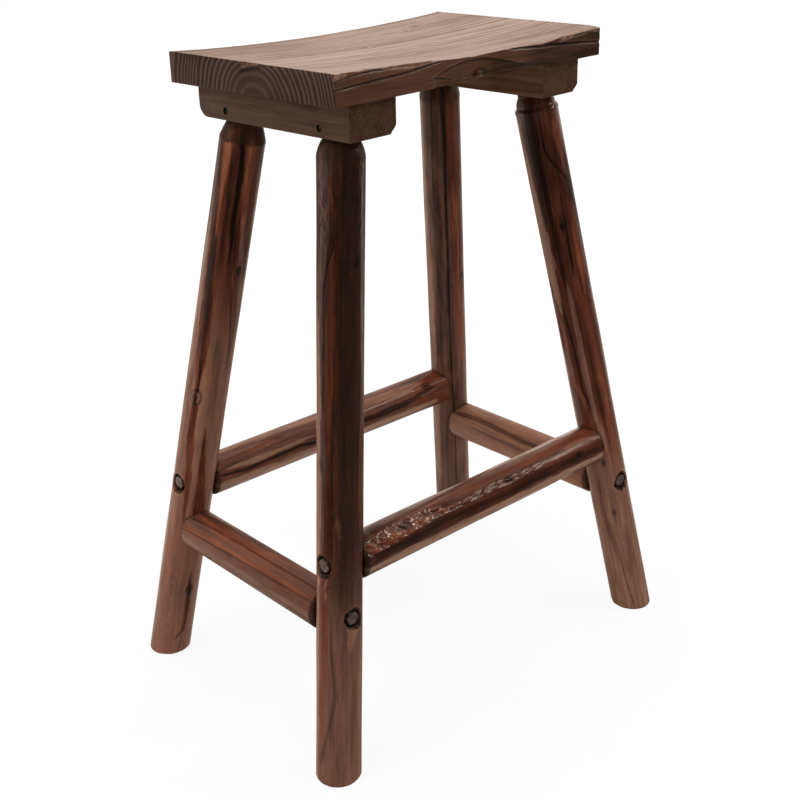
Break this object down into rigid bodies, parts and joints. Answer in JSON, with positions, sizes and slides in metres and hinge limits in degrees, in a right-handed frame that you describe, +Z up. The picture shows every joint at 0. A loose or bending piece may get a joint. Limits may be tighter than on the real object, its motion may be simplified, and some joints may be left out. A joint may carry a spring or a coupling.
{
  "type": "saddle stool",
  "caption": "Backless bar-height stool with a dished plank seat on two cleats, splayed round log legs tenoned into the cleats, and coped log rungs lag-bolted between the legs.",
  "frame": {"origin": "on the floor, below the middle of the seat", "axes": "+Z up, +X along the seat's length, -Y towards its waney front edge"},
  "size_m": [0.5984, 0.4418, 0.762],
  "materials": {
    "seat_wood": "satin stain over planed softwood, darker end grain",
    "cleat_wood": "matte dark stain over planed softwood",
    "log_wood": "glossy varnish over dark streaked peeled log",
    "lag_bolt_steel": "dull steel with stain on it",
    "screw_steel": "black oxide"
  },
  "bodies": {
    "root": {"seat_plank": "seat_wood", "cleat_left": "cleat_wood", "cleat_right": "cleat_wood", "leg_front_left": "log_wood", "leg_front_right": "log_wood", "leg_back_left": "log_wood", "leg_back_right": "log_wood", "rung_front": "log_wood", "rung_back": "log_wood", "rung_left": "log_wood", "rung_right": "log_wood", "lag_bolt_front_rung_left": "lag_bolt_steel", "lag_bolt_front_rung_right": "lag_bolt_steel", "lag_bolt_back_rung_left": "lag_bolt_steel", "lag_bolt_back_rung_right": "lag_bolt_steel", "lag_bolt_left_rung_front": "lag_bolt_steel", "lag_bolt_left_rung_back": "lag_bolt_steel", "lag_bolt_right_rung_front": "lag_bolt_steel", "lag_bolt_right_rung_back": "lag_bolt_steel", "tenon_screw_front_left": "screw_steel", "tenon_screw_front_right": "screw_steel", "tenon_screw_back_left": "screw_steel", "tenon_screw_back_right": "screw_steel", "seat_screw_front_left": "screw_steel", "seat_screw_front_right": "screw_steel", "seat_screw_back_left": "screw_steel", "seat_screw_back_right": "screw_steel"}
  },
  "joints": []
}
